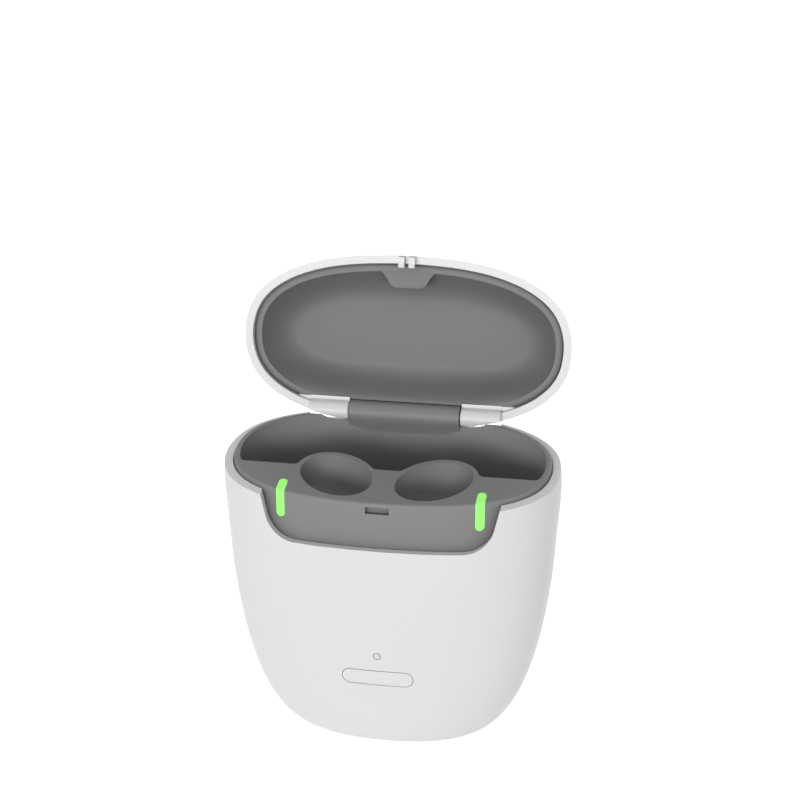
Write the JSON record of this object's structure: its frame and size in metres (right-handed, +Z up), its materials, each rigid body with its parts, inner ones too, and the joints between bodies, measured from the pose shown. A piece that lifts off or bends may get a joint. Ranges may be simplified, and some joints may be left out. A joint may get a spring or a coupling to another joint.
{
  "type": "hearing aid charger",
  "caption": "Upright desktop charger with a rounded case, a hinged lid that opens wide, two ear-shaped charging wells, a storage trough, light bars and a front button.",
  "frame": {"origin": "centre of the foot pad's underside, where the charger stands", "axes": "+Z up, the front with the button faces -Y, the hinge and the socket are at +Y, the lid is open at rest"},
  "size_m": [0.089, 0.0583, 0.1238],
  "materials": {
    "case_white": "gloss",
    "tray_grey": "satin",
    "liner_grey": "satin",
    "light_green": "lit diffuser",
    "lens_clear": "gloss",
    "steel": "satin",
    "foot_rubber": "matte",
    "frame_plastic": "matte",
    "board_green": "satin",
    "switch_black": "matte",
    "chip_black": "matte",
    "led_white": "gloss",
    "copper": "satin",
    "ferrite": "matte",
    "battery_foil": "satin",
    "foam_pad": "matte",
    "lead_rubber": "satin",
    "ribbon_film": "satin",
    "plug_white": "matte"
  },
  "bodies": {
    "base": {"body_shell": "case_white", "charging_tray": "tray_grey", "charge_light_left": "light_green", "charge_light_right": "light_green", "hinge_pin": "steel", "rubber_foot": "foot_rubber", "base_screws": "steel", "board_screws": "steel", "usb_board_screws": "steel", "tray_screws": "steel", "inner_frame": "frame_plastic", "main_board": "board_green", "tact_switch": "switch_black", "status_led": "led_white", "charge_controller": "chip_black", "status_light": "lens_clear", "battery_pad": "foam_pad", "battery_cell": "battery_foil", "battery_socket": "plug_white", "battery_leads": "lead_rubber", "usb_board": "board_green", "usb_c_socket": "steel", "usb_c_tongue": "switch_black", "usb_ribbon": "ribbon_film", "tray_board": "board_green", "tray_ribbon": "ribbon_film", "coil_ferrite_left": "ferrite", "coil_ferrite_right": "ferrite", "charging_coil_left": "copper", "charging_coil_right": "copper", "bar_leds": "led_white"},
    "lid": {"lid_shell": "case_white", "lid_liner": "liner_grey"},
    "button": {"status_button": "case_white", "switch_plunger": "switch_black"}
  },
  "joints": [
    {"name": "lid_hinge", "type": "hinge", "parent": "base", "child": "lid", "pos_m": [0, 0.0191, 0.08082], "axis": [1, 0, 0], "range_deg": [0, 110.3]},
    {"name": "button_press", "type": "slide", "parent": "base", "child": "button", "axis": [0, 1, 0], "range_m": [0, 0.0004], "stiffness_N_per_m": 4000}
  ]
}
